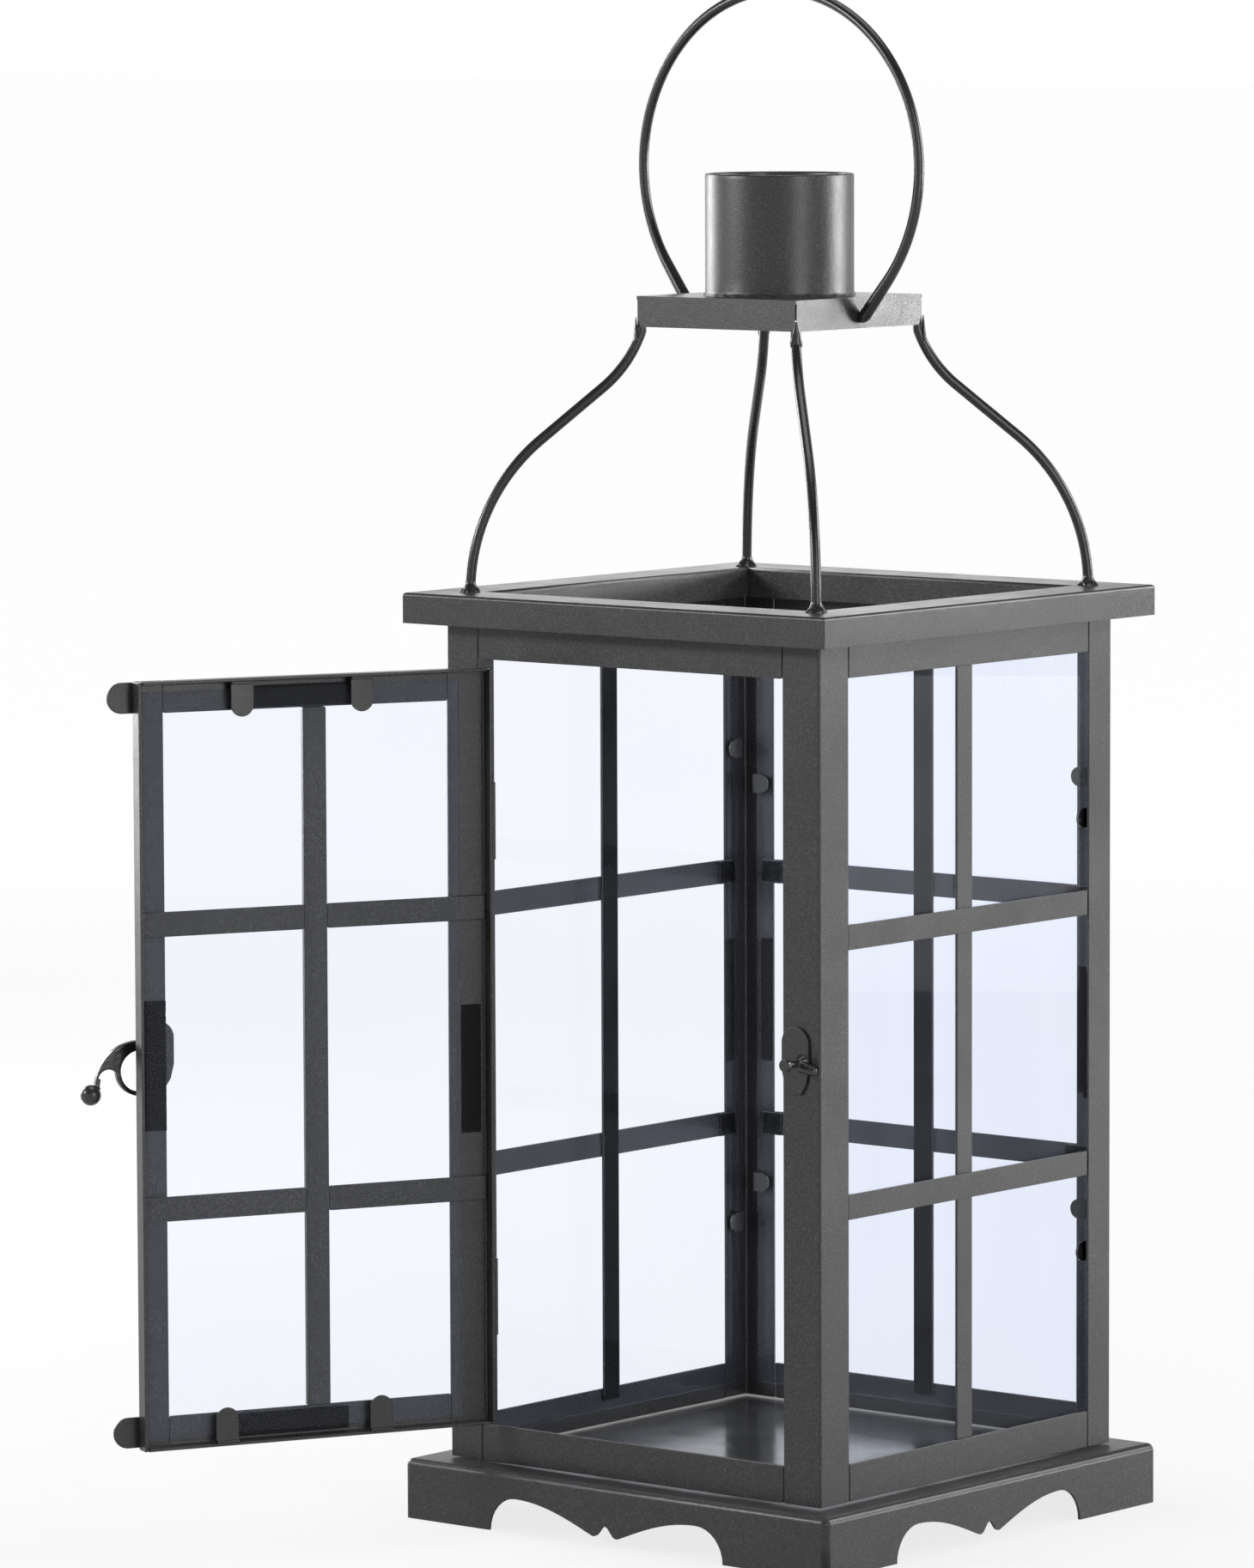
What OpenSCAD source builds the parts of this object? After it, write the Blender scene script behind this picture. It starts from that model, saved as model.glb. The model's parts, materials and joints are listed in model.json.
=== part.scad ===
// Square standing candle lantern: skirted base, four glazed sides with one hinged door,
// a folded top rim, four bowed wire arms, a small cap with an open flue collar, and a bail handle.
// The door face is -Y, up is +Z, and the origin is the centre of the base on the ground.

/* [Base] */
// Side of the square base
base_w = 220; // [217:0.5:226]
// Height of the base, which is also the level of the candle floor
base_h = 24.6; // [23:0.2:27]
// Radius of the rolled top edge and of the upright corners
base_roll = 3; // [2:0.5:4]
// Rise of the pressed candle floor above the rest of the base's top
floor_rise = 0.4; // [0.2:0.1:0.8]
// Sheet metal thickness of the base, posts, rails, rim and cap
sheet_t = 1.2; // [1:0.1:1.4]
// Height of the skirt arches above the ground
arch_rise = 14.2; // [12:0.2:16]
// Half width of the arched cut-out, out to the corner foot
arch_half = 61; // [56:0.5:66]
// Sideways offset of the hand-cut arches
arch_shift = -3.5; // [-5:0.5:5]

/* [Body] */
// Outside width of the square body
body_w = 192.6; // [191:0.2:194]
// Height of the upper edge of the bottom rails
low_rail_z = 40.4; // [38:0.2:43]
// Height of the lower edge of the top rails
top_rail_z = 353.6; // [352.6:0.2:356]
// Leaf width of the ordinary corner posts
post_leaf = 16.5; // [15:0.1:17.5]
// Leaf width of the wider post that carries the catch
latch_post_leaf = 18.5; // [17.5:0.1:19.5]
// Width of the glazing bars
bar_w = 10; // [8:0.2:11]
// Height of the middle of the upper glazing bars
bar_high_z = 250.8; // [246:0.2:256]
// Height of the middle of the lower glazing bars
bar_low_z = 143.3; // [138:0.2:148]
// Thickness of the glass panes
glass_t = 2.5; // [2:0.1:3]

/* [Rim] */
// Outside width of the folded top rim
rim_w = 218; // [216:0.5:222]
// Height of the underside of the rim
rim_z = 367.6; // [366:0.2:369]
// Height of the rim band
rim_h = 12.4; // [11:0.2:14]
// Width of the flat top of the rim
rim_flat = 24.5; // [23:0.1:26]

/* [Arms] */
// Diameter of the arm and handle wire
rod_d = 4.2; // [3.8:0.1:4.4]
// Distance of each arm's foot from the lantern's axis
arm_foot_r = 126.5; // [126:0.1:127]
// Radius of the lower, outward bow of each arm
arm_low_r = 79.8; // [79.5:0.1:80.1]
// Angle through which the lower bow turns
arm_low_a = 50.4; // [50.2:0.1:50.6]
// Straight run between the two bows
arm_mid_l = 33; // [32.8:0.1:33.2]
// Radius of the upper, inward bow
arm_up_r = 50.7; // [50.2:0.1:51.2]

/* [Cap and flue] */
// Side of the square cap
cap_w = 82.5; // [82:0.1:83]
// Height of the underside of the cap's flange
cap_z = 487; // [486.5:0.1:487.5]
// Depth of the cap's flange
cap_h = 12.5; // [11:0.1:14]
// Outside diameter of the flue collar
collar_d = 60.5; // [58:0.1:62]
// Height of the flue collar
collar_h = 49.3; // [45:0.1:52]
// Wall of the flue collar
collar_t = 1.5; // [1:0.1:2]

/* [Handle] */
// Radius of the handle ring at the middle of the wire
ring_r = 71.4; // [70:0.1:73]
// Height of the ring's centre
ring_z = 551.3; // [550:0.1:553]
// Height of the two pivots in the cap's flange
ring_pivot_z = 491.3; // [490.8:0.1:493]
// Radius of the bend at each end of the ring
ring_bend_r = 6; // [5:0.5:7]

/* [Door] */
// How far the door stands open
door_open = 115.7; // [0:0.1:170]
// Width of the door
door_w = 153; // [152:0.1:153.4]
// Height of the underside of the door
door_z0 = 42.3; // [41.4:0.1:43]
// Height of the top of the door
door_z1 = 351; // [350:0.1:352]
// Depth of the folded edge of the door frame
door_fold = 7; // [6:0.1:8]
// Face width of the hinge stile
hinge_stile_w = 17.3; // [16:0.1:18]
// Face width of the latch stile
latch_stile_w = 12.5; // [12:0.1:13]
// Face width of the door's two rails
door_rail_w = 13; // [12:0.1:14]
// Length of each hinge
hinge_l = 31.4; // [28:0.2:34]
// Height of the middle of the upper hinge
hinge_high_z = 289; // [280:1:300]
// Height of the middle of the lower hinge
hinge_low_z = 94.6; // [85:0.2:105]

/* [Latch] */
// Height of the lever's pivot
pivot_z = 203.5; // [203:0.1:204]
// Radius of the lever's bowed back
lever_bow_r = 18.8; // [18.4:0.1:18.8]
// Radius of the ball at the lever's tip
lever_ball_r = 4.15; // [3.5:0.05:4.3]
// Thickness of the lever
lever_t = 3.2; // [2.6:0.1:3.2]

/* [Hidden] */
$fn = 64;
// How far a cutting body runs past the surface that it cuts
cut = 1;
half = body_w / 2;
base_half = base_w / 2;
rim_half = rim_w / 2;
rim_in = rim_half - rim_flat;
rim_top = rim_z + rim_h;
post_top = rim_top - sheet_t;
cap_half = cap_w / 2;
cap_top = cap_z + cap_h;
rod_r = rod_d / 2;
// Radius of the ball that blends one bend of a wire into the next
blend_r = rod_r + 0.03;

// Handle: where its bends stand, the angle of its straight legs, and the peened heads
ring_end_x = 42.2;
ring_bend_z = ring_pivot_z + ring_bend_r;
ring_rise = ring_z - ring_bend_z;
ring_span = norm([ring_end_x, ring_rise]);
ring_leg_a = 180 - asin((ring_r - ring_bend_r) / ring_span) - atan2(ring_rise, ring_end_x);
ring_leg_l = sqrt(pow(ring_span, 2) - pow(ring_r - ring_bend_r, 2));
ring_head_l = 2;
ring_head_r = rod_r + 1.4;
ring_head_x = cap_half - sheet_t - 0.6;

// Arm ends: flared weld at the foot, stub under the cap and bead up the cap's corner
foot_weld_h = 4;
foot_weld_w = 2;
arm_stub_z = 485.2;
bead_r = 1.5;
bead_tip_r = 0.7;
bead_at_r = cap_half * sqrt(2) + 0.35;
bead_low_l = 3;
bead_up_l = 4.5;
bead_tip_l = 2.5;
front_left_x = -half + post_leaf;

// Candle floor and the outline of the skirt's arches
floor_half = 85;
arch_valley = 3.9;
arch_point = 4.6;
arch_point_half = 5.5;
arch_valley_half = 6.5;
arch_shoulder = 47;
arch_point_steps = 4;
arch_rise_steps = 12;
arch_shoulder_steps = 8;

// Glazing layers, counted inward from the outer face of a wall
lap_n = sheet_t;
glass_n = 2 * sheet_t;
glass_in_n = glass_n + glass_t;
glass_half = 86;
glass_z0 = 32;
glass_z1 = 361;
end_gap = 0.8;
tongue_l = 5;
bar_lap = 5;
clip_t = 1;
clip_w = 8;
clip_u = 79.5;
clip_foot_u = glass_half + 0.4;

// Side number of each glazed wall, turned in quarter turns from the door side
right_side = 1;
back_side = 2;
left_side = 3;
// Leaf widths at the two ends of each glazed wall, near end first
right_leafs = [latch_post_leaf, 15.2];
back_leafs = [16.9, post_leaf];
left_leafs = [15.4, post_leaf];
// Sideways offset of each wall's upright bar
bar_shift = [0, -0.8, -0.5, -3.3];
// Heights of the pane clips at the near and far end of each wall
right_clip_z = [[285, 106], [285, 106]];
back_clip_z = [[301, 122], [288, 118]];
left_clip_z = [[303, 101], [303, 101]];
// Cushion pads of the glazed walls
pad_z0 = 170;
pad_z1 = 222;
pad_u = glass_half - 3;
pad_half_w = 2.4;

// Door frame, given with the door shut
door_x0 = -77;
door_x1 = door_x0 + door_w;
door_y = -half - 0.4;
door_in_y = door_y + sheet_t;
door_lip_y = door_y + door_fold;
pane_x0 = door_x0 + hinge_stile_w;
pane_x1 = door_x1 - latch_stile_w;
pane_z0 = door_z0 + door_rail_w;
pane_z1 = door_z1 - door_rail_w;
door_bar_x = -1.1;
door_bar_high_z = 253.6;
door_bar_low_z = 139.1;
door_glass_x0 = -63.4;
door_glass_x1 = 72.3;
door_glass_z0 = 46.6;
door_glass_z1 = 346.7;
door_glass_y = door_in_y + sheet_t;
door_glass_in_y = door_glass_y + glass_t;
jamb_x = front_left_x;
jamb_d = 10;

// Hinges
hinge_x = -76;
hinge_y = -99.2;
knuckle_r = 2.2;
pin_r = 1.2;
pin_run = 0.05;
knuckle_gap = 0.3;
hinge_leaf_d = 6.5;
pin_head_l = 0.8;
pin_head_r = 1.9;

// Latch, given with the door shut
pivot_x = 66.2;
plate_t = 1.2;
plate_w = 13.4;
plate_y = door_y - plate_t;
lever_y = -102.8;
latch_plate_z = 187.6;
latch_plate_h = 27;
// Tongue plates: heights as shares of the length, half widths as shares of the plate's
tongue_waist = 0.36;
tongue_knee = 0.14;
tongue_knee_w = 0.78;
tongue_foot_w = 0.4;
pivot_r = 1.5;
pivot_run = 0.06;
pivot_play = 0.3;
pivot_head_l = 1.3;
pivot_head_r = 3.2;
hub_r = 4.6;
boss_r = 3.4;
boss_gap = 0.3;
lever_body = [[71.5, 208], [93, 208], [93, 188], [88.4, 188], [84, 191], [79, 191.5], [71.5, 197]];
lever_neck_h = 4.1;
lever_neck_l = 5.4;
bow_x = 71.9;
bow_z = 187.7;
eye_x = 71.5;
eye_z = 194.2;
eye_r = 8.3;
prong_t = 1.7;
eye_prong_a = [-104, 6];
bow_prong_t = 1.9;
bow_prong_a = [-5, 14];
weld_lap = 0.1;
notch_x = 85;
notch_z = 191;
notch_r = 4.5;
ball_x = 92.2;
ball_z = 185.5;
stud_x = 87.9;
stud_z = 202.4;
stud_r = 1.5;
stud_head_r = 2.6;
stud_neck_l = 8.9;
stud_head_l = 2;
stud_root_l = 3;
stud_root_r = 3.6;
lobe_near = [0.5, -1.2, 0.6];
lobe_near_r = 2.6;
lobe_far = [6.6, -2.6, 0.9];
lobe_far_r = 1.9;
lobe_reach = 12;
lobe_fn = 32;
catch_x = 84.6;
catch_y = -half - plate_t;
catch_plate_z = 189.4;
catch_plate_h = 27.1;
rivet_x = 82.9;
rivet_z = 191.8;
rivet_h = 0.5;
rivet_r = 0.9;
rivet_top_r = 0.6;

// Door stops and door clips
stop_out_x = 86.6;
stop_r = 6.2;
stop_root_x = 70;
stop_top_z = 344.4;
stop_low_z = 49.4;
door_clip_top_x = [31.1, -20.7];
door_clip_low_x = [40, -27.1];
door_clip_r = 4.9;
door_clip_l = 14.2;

// Cushion pads of the door, as runs along it
door_pad_gap = 0.3;
latch_pad_z = [171, 223];
hinge_pad_x = [-73.3, -64.2];
hinge_pad_z = [162, 214];
top_pad_x = [-16.3, 36];
top_pad_gap = [0.7, 2.3];
low_pad_x = [-14, 34.4];
low_pad_gap = [1.4, 1.2];

iron = "dimgray";
dark = "darkslategray";
pane = "lightsteelblue";
pad_colour = "black";

// A box given by its low and high corners
module box(lo, hi) {
    translate(lo)
        cube(hi - lo);
}

// Places a child drawn for the door side on another side, in quarter turns
module on_side(side) {
    rotate([0, 0, 90 * side])
        children();
}

// A box on a wall: u runs along the wall, n inward from its outer face
module wall_box(u0, u1, n0, n1, z0, z1) {
    box([u0, -half + n0, z0], [u1, -half + n1, z1]);
}

// Swings a child drawn on the shut door about the hinge axis
module on_door() {
    translate([hinge_x, hinge_y, 0])
        rotate([0, 0, -door_open])
            translate([-hinge_x, -hinge_y, 0])
                children();
}

// Height of the skirt's lower edge at a distance d from the middle of a side
function arch_edge(d) =
    d < arch_point_half ? arch_valley + arch_point / 2 * (1 + cos(180 * d / arch_point_half)) :
    d < arch_valley_half ? arch_valley :
    d < arch_shoulder ? arch_valley
        + (arch_rise - arch_valley) * sin(90 * (d - arch_valley_half) / (arch_shoulder - arch_valley_half)) :
    arch_rise * sqrt(max(0, 1 - pow((d - arch_shoulder) / (arch_half - arch_shoulder), 2)));

module arch_outline() {
    point = [for (k = [0 : arch_point_steps]) arch_point_half * k / arch_point_steps];
    rise = [for (k = [0 : arch_rise_steps])
        arch_valley_half + (arch_shoulder - arch_valley_half) * k / arch_rise_steps];
    shoulder = [for (k = [1 : arch_shoulder_steps])
        arch_shoulder + (arch_half - arch_shoulder) * sin(90 * k / arch_shoulder_steps)];
    ds = concat(point, rise, shoulder);
    last = len(ds) - 1;
    right_pts = [for (d = ds) [d, arch_edge(d)]];
    left_pts = [for (k = [last : -1 : 1]) [-ds[k], arch_edge(ds[k])]];
    translate([arch_shift, 0])
        polygon(concat([[-arch_half, -cut]], left_pts, right_pts, [[arch_half, -cut]]));
}

// Section of the rolled skirt wall, drawn outward from the corner's centre
module roll_section(r, h) {
    square([r, h - r]);
    translate([0, h - r])
        intersection() {
            circle(r = r);
            square(r);
        }
}

module skirt_section() {
    difference() {
        roll_section(base_roll, base_h);
        roll_section(base_roll - sheet_t, base_h - sheet_t);
    }
}

module base_shell() {
    run = base_w - 2 * base_roll;
    color(iron)
        difference() {
            union() {
                box([-run / 2, -run / 2, base_h - sheet_t], [run / 2, run / 2, base_h]);
                box([-floor_half, -floor_half, base_h - cut],
                    [floor_half, floor_half, base_h + floor_rise]);
                for (side = [0 : 3])
                    on_side(side) {
                        translate([run / 2, -run / 2, 0])
                            rotate([90, 0, -90])
                                linear_extrude(run)
                                    skirt_section();
                        translate([run / 2, run / 2, 0])
                            rotate_extrude(angle = 90)
                                skirt_section();
                    }
            }
            for (side = [0, 1])
                on_side(side)
                    translate([0, base_half + cut, 0])
                        rotate([90, 0, 0])
                            linear_extrude(base_w + 2 * cut)
                                arch_outline();
        }
}

module post(leaf_a, leaf_b) {
    box([-half, -half, base_h], [-half + leaf_a, -half + sheet_t, post_top]);
    box([-half, -half, base_h], [-half + sheet_t, -half + leaf_b, post_top]);
}

module post_front_left() {
    color(iron) {
        post(post_leaf, post_leaf);
        box([jamb_x - sheet_t, -half, low_rail_z], [jamb_x, -half + jamb_d, top_rail_z]);
    }
}

module post_front_right() {
    color(iron)
        difference() {
            on_side(right_side)
                post(latch_post_leaf, latch_post_leaf);
            stud_hole();
        }
}

module post_back_right() {
    color(iron)
        on_side(back_side)
            post(back_leafs[0], right_leafs[1]);
}

module post_back_left() {
    color(iron)
        on_side(left_side)
            post(left_leafs[0], back_leafs[1]);
}

// Rails between the post leaves a (near end) and b (far end)
module rail(side, a, b, z0, z1) {
    color(iron)
        on_side(side)
            wall_box(-half + a, half - b, 0, sheet_t, z0, z1);
}

module bottom_rail_front() {
    rail(0, post_leaf, latch_post_leaf, base_h, low_rail_z);
}

module bottom_rail_right() {
    rail(right_side, right_leafs[0], right_leafs[1], base_h, low_rail_z);
}

module bottom_rail_back() {
    rail(back_side, back_leafs[0], back_leafs[1], base_h, low_rail_z);
}

module bottom_rail_left() {
    rail(left_side, left_leafs[0], left_leafs[1], base_h, low_rail_z);
}

module top_rail_front() {
    rail(0, post_leaf, latch_post_leaf, top_rail_z, post_top);
}

module top_rail_right() {
    rail(right_side, right_leafs[0], right_leafs[1], top_rail_z, post_top);
}

module top_rail_back() {
    rail(back_side, back_leafs[0], back_leafs[1], top_rail_z, post_top);
}

module top_rail_left() {
    rail(left_side, left_leafs[0], left_leafs[1], top_rail_z, post_top);
}

module bar_upright(side) {
    u = bar_shift[side];
    color(iron)
        on_side(side)
            wall_box(u - bar_w / 2, u + bar_w / 2, lap_n, 2 * sheet_t,
                low_rail_z - bar_lap, top_rail_z + bar_lap);
}

module bar_upright_right() {
    bar_upright(right_side);
}

module bar_upright_back() {
    bar_upright(back_side);
}

module bar_upright_left() {
    bar_upright(left_side);
}

// Two level bars flush with the posts, each with a thin tongue lapped behind both posts
module bars_level(side, leafs) {
    u0 = -half + leafs[0];
    u1 = half - leafs[1];
    color(iron)
        on_side(side)
            for (z = [bar_high_z, bar_low_z]) {
                wall_box(u0, u1 - end_gap, 0, sheet_t, z - bar_w / 2, z + bar_w / 2);
                wall_box(u0 - tongue_l, u0 + tongue_l, lap_n, 2 * sheet_t, z - bar_w / 2, z + bar_w / 2);
                wall_box(u1 - tongue_l, u1 + tongue_l, lap_n, 2 * sheet_t, z - bar_w / 2, z + bar_w / 2);
            }
}

module bars_level_right() {
    bars_level(right_side, right_leafs);
}

module bars_level_back() {
    bars_level(back_side, back_leafs);
}

module bars_level_left() {
    bars_level(left_side, left_leafs);
}

module wall_glass(side) {
    color(pane, 0.35)
        on_side(side)
            wall_box(-glass_half, glass_half, glass_n, glass_in_n, glass_z0, glass_z1);
}

module glass_right() {
    wall_glass(right_side);
}

module glass_back() {
    wall_glass(back_side);
}

module glass_left() {
    wall_glass(left_side);
}

// A bent tab: a foot beside the pane's edge and a half-round tongue over the glass
module pane_clip(z) {
    wall_box(clip_foot_u, clip_foot_u + clip_t, lap_n, glass_in_n + clip_t, z - clip_w / 2, z + clip_w / 2);
    wall_box(clip_u + clip_w / 2, clip_foot_u, glass_in_n, glass_in_n + clip_t,
        z - clip_w / 2, z + clip_w / 2);
    translate([clip_u + clip_w / 2, -half + glass_in_n + clip_t, z])
        rotate([90, 0, 0])
            cylinder(h = clip_t, r = clip_w / 2);
}

module wall_clips(side, zs) {
    color(dark)
        on_side(side) {
            for (z = zs[1])
                pane_clip(z);
            mirror([1, 0, 0])
                for (z = zs[0])
                    pane_clip(z);
        }
}

module clips_right() {
    wall_clips(right_side, right_clip_z);
}

module clips_back() {
    wall_clips(back_side, back_clip_z);
}

module clips_left() {
    wall_clips(left_side, left_clip_z);
}

// Cushion pads between the post leaves and the panes
module pads_body() {
    color(pad_colour)
        for (side = [right_side, back_side, left_side], end = [-1, 1])
            on_side(side)
                translate([end * pad_u, 0, 0])
                    wall_box(-pad_half_w, pad_half_w, lap_n, glass_n, pad_z0, pad_z1);
}

// Folded box-section rim that sits over the top of the body
module top_rim() {
    color(iron)
        difference() {
            box([-rim_half, -rim_half, rim_z], [rim_half, rim_half, rim_top]);
            box([-rim_in, -rim_in, rim_z - cut], [rim_in, rim_in, rim_top + cut]);
            difference() {
                box([-rim_half + sheet_t, -rim_half + sheet_t, rim_z - cut],
                    [rim_half - sheet_t, rim_half - sheet_t, rim_top - sheet_t]);
                box([-rim_in - sheet_t, -rim_in - sheet_t, rim_z - cut],
                    [rim_in + sheet_t, rim_in + sheet_t, rim_top]);
                difference() {
                    box([-rim_half, -rim_half, rim_z], [rim_half, rim_half, rim_z + sheet_t]);
                    box([-half, -half, rim_z - cut], [half, half, rim_top]);
                }
            }
        }
}

// Arc of wire in the upright plane, about a centre, from angle a0 through sweep
module wire_arc(centre, r, a0, sweep) {
    translate([centre[0], 0, centre[1]])
        rotate([90, 0, 0])
            rotate([0, 0, a0])
                rotate_extrude(angle = sweep)
                    translate([r, 0])
                        circle(r = rod_r);
}

// Ball that blends two runs of wire where they meet
module wire_blend(place) {
    translate([place[0], 0, place[1]])
        sphere(r = blend_r);
}

// One bowed arm, drawn outward along +X and turned to its corner: welded to the rim below, and above
// butted under the cap's corner with a bead of weld up its outer edge
module arm(k) {
    mid_r = arm_foot_r - arm_low_r * (1 - cos(arm_low_a));
    mid_z = rim_top + arm_low_r * sin(arm_low_a);
    up_r = mid_r - arm_mid_l * sin(arm_low_a);
    up_z = mid_z + arm_mid_l * cos(arm_low_a);
    centre_r = up_r + arm_up_r * cos(arm_low_a);
    centre_z = up_z + arm_up_r * sin(arm_low_a);
    up_a = arm_low_a - asin((centre_z - arm_stub_z) / arm_up_r);
    stub_r = centre_r - arm_up_r * cos(arm_low_a - up_a);
    color(iron)
        rotate([0, 0, 90 * k - 135])
            difference() {
                union() {
                    translate([arm_foot_r, 0, rim_top])
                        cylinder(h = foot_weld_h, r1 = rod_r + foot_weld_w, r2 = rod_r);
                    wire_arc([arm_foot_r - arm_low_r, rim_top], arm_low_r, 0, arm_low_a);
                    translate([mid_r, 0, mid_z])
                        rotate([0, -arm_low_a, 0])
                            cylinder(h = arm_mid_l, r = rod_r);
                    wire_arc([centre_r, centre_z], arm_up_r, 180 + arm_low_a - up_a, up_a);
                    wire_blend([mid_r, mid_z]);
                    wire_blend([up_r, up_z]);
                    wire_blend([stub_r, arm_stub_z]);
                    translate([stub_r, 0, arm_stub_z])
                        cylinder(h = cap_z - arm_stub_z, r = rod_r);
                    translate([bead_at_r, 0, cap_z - bead_low_l])
                        cylinder(h = bead_low_l + bead_up_l, r = bead_r);
                    translate([bead_at_r, 0, cap_z + bead_up_l])
                        cylinder(h = bead_tip_l, r1 = bead_r, r2 = bead_tip_r);
                    translate([bead_at_r, 0, cap_z - bead_low_l - bead_tip_l])
                        cylinder(h = bead_tip_l, r1 = bead_tip_r, r2 = bead_r);
                }
                rotate([0, 0, 45])
                    box([-cap_half, -cap_half, cap_z], [cap_half, cap_half, cap_top]);
            }
}

module arm_front_left() {
    arm(0);
}

module arm_front_right() {
    arm(1);
}

module arm_back_right() {
    arm(2);
}

module arm_back_left() {
    arm(3);
}

// Cap: a square tray turned down, with the flue hole and two handle holes
module cap_tray() {
    color(iron)
        difference() {
            box([-cap_half, -cap_half, cap_z], [cap_half, cap_half, cap_top]);
            box([-cap_half + sheet_t, -cap_half + sheet_t, cap_z - cut],
                [cap_half - sheet_t, cap_half - sheet_t, cap_top - sheet_t]);
            translate([0, 0, cap_z])
                cylinder(h = cap_h + cut, r = collar_d / 2 - collar_t);
            translate([-cap_half - cut, 0, ring_pivot_z])
                rotate([0, 90, 0])
                    cylinder(h = cap_w + 2 * cut, r = rod_r + pin_run);
        }
}

module flue_collar() {
    color(iron)
        translate([0, 0, cap_top])
            difference() {
                cylinder(h = collar_h, r = collar_d / 2);
                translate([0, 0, -cut])
                    cylinder(h = collar_h + 2 * cut, r = collar_d / 2 - collar_t);
            }
}

// One end of the handle ring: straight leg, bend, pivot stub and peened head
module handle_end() {
    bend_x = ring_end_x + ring_bend_r * sin(ring_leg_a);
    bend_low_z = ring_bend_z - ring_bend_r * cos(ring_leg_a);
    wire_blend([ring_r * sin(ring_leg_a), ring_z - ring_r * cos(ring_leg_a)]);
    translate([bend_x, 0, bend_low_z])
        rotate([0, 90 - ring_leg_a, 0])
            cylinder(h = ring_leg_l, r = rod_r);
    wire_blend([bend_x, bend_low_z]);
    wire_arc([ring_end_x, ring_bend_z], ring_bend_r, -90, ring_leg_a);
    wire_blend([ring_end_x, ring_pivot_z]);
    translate([ring_head_x - ring_head_l, 0, ring_pivot_z])
        rotate([0, 90, 0])
            cylinder(h = ring_end_x - ring_head_x + ring_head_l, r = rod_r);
    translate([ring_head_x - ring_head_l, 0, ring_pivot_z])
        rotate([0, 90, 0])
            cylinder(h = ring_head_l, r = ring_head_r);
}

module carry_handle() {
    color(iron) {
        wire_arc([0, ring_z], ring_r, ring_leg_a - 90, 360 - 2 * ring_leg_a);
        handle_end();
        mirror([1, 0, 0])
            handle_end();
    }
}

// Leaf on the jamb, with the two outer knuckles
module hinge_post_leaf(z) {
    z0 = z - hinge_l / 2;
    z1 = z + hinge_l / 2;
    third = hinge_l / 3;
    color(iron) {
        box([jamb_x, -half, z0], [jamb_x + sheet_t, -half + hinge_leaf_d, z1]);
        for (s = [z0, z1 - third + knuckle_gap])
            difference() {
                union() {
                    box([jamb_x, hinge_y - sheet_t, s], [jamb_x + sheet_t, -half, s + third - knuckle_gap]);
                    box([jamb_x, hinge_y - sheet_t, s], [hinge_x, hinge_y, s + third - knuckle_gap]);
                    translate([hinge_x, hinge_y, s])
                        cylinder(h = third - knuckle_gap, r = knuckle_r);
                }
                translate([hinge_x, hinge_y, s - cut])
                    cylinder(h = third + 2 * cut, r = pin_r);
            }
    }
}

// Leaf on the door's folded edge, with the middle knuckle
module hinge_door_leaf(z) {
    z0 = z - hinge_l / 2;
    z1 = z + hinge_l / 2;
    third = hinge_l / 3;
    color(iron)
        on_door() {
            box([door_x0 - sheet_t, door_y, z0], [door_x0, door_lip_y, z1]);
            difference() {
                union() {
                    box([door_x0 - sheet_t, hinge_y, z0 + third], [door_x0, door_y, z1 - third]);
                    translate([hinge_x, hinge_y, z0 + third])
                        cylinder(h = third, r = knuckle_r);
                }
                translate([hinge_x, hinge_y, z0])
                    cylinder(h = hinge_l, r = pin_r + pin_run);
            }
        }
}

module hinge_pin(z) {
    color(dark)
        translate([hinge_x, hinge_y, z - hinge_l / 2 - pin_head_l]) {
            cylinder(h = hinge_l + 2 * pin_head_l, r = pin_r);
            translate([0, 0, hinge_l + pin_head_l])
                cylinder(h = pin_head_l, r = pin_head_r);
            cylinder(h = pin_head_l, r = pin_head_r);
        }
}

module hinge_upper_post_leaf() {
    hinge_post_leaf(hinge_high_z);
}

module hinge_lower_post_leaf() {
    hinge_post_leaf(hinge_low_z);
}

module hinge_upper_door_leaf() {
    hinge_door_leaf(hinge_high_z);
}

module hinge_lower_door_leaf() {
    hinge_door_leaf(hinge_low_z);
}

module hinge_upper_pin() {
    hinge_pin(hinge_high_z);
}

module hinge_lower_pin() {
    hinge_pin(hinge_low_z);
}

module door_stile_hinge() {
    color(iron)
        on_door() {
            box([door_x0, door_y, door_z0], [pane_x0, door_in_y, door_z1]);
            box([door_x0, door_y, door_z0], [door_x0 + sheet_t, door_lip_y, door_z1]);
        }
}

module door_stile_latch() {
    color(iron)
        on_door()
            difference() {
                union() {
                    box([pane_x1, door_y, door_z0], [door_x1, door_in_y, door_z1]);
                    box([door_x1 - sheet_t, door_y, door_z0], [door_x1, door_lip_y, door_z1]);
                }
                translate([pivot_x, door_in_y + cut, pivot_z])
                    rotate([90, 0, 0])
                        cylinder(h = sheet_t + 2 * cut, r = pivot_r);
            }
}

// Door rail: face strip from zf0 to zf1 and a folded edge from ze0 to ze1
module door_rail(zf0, zf1, ze0, ze1) {
    color(iron)
        on_door() {
            box([pane_x0, door_y, zf0], [pane_x1, door_in_y, zf1]);
            box([door_x0 + sheet_t, door_in_y, ze0], [door_x1 - sheet_t, door_lip_y, ze1]);
        }
}

module door_rail_top() {
    door_rail(pane_z1, door_z1, door_z1 - sheet_t, door_z1);
}

module door_rail_bottom() {
    door_rail(door_z0, pane_z0, door_z0, door_z0 + sheet_t);
}

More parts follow.
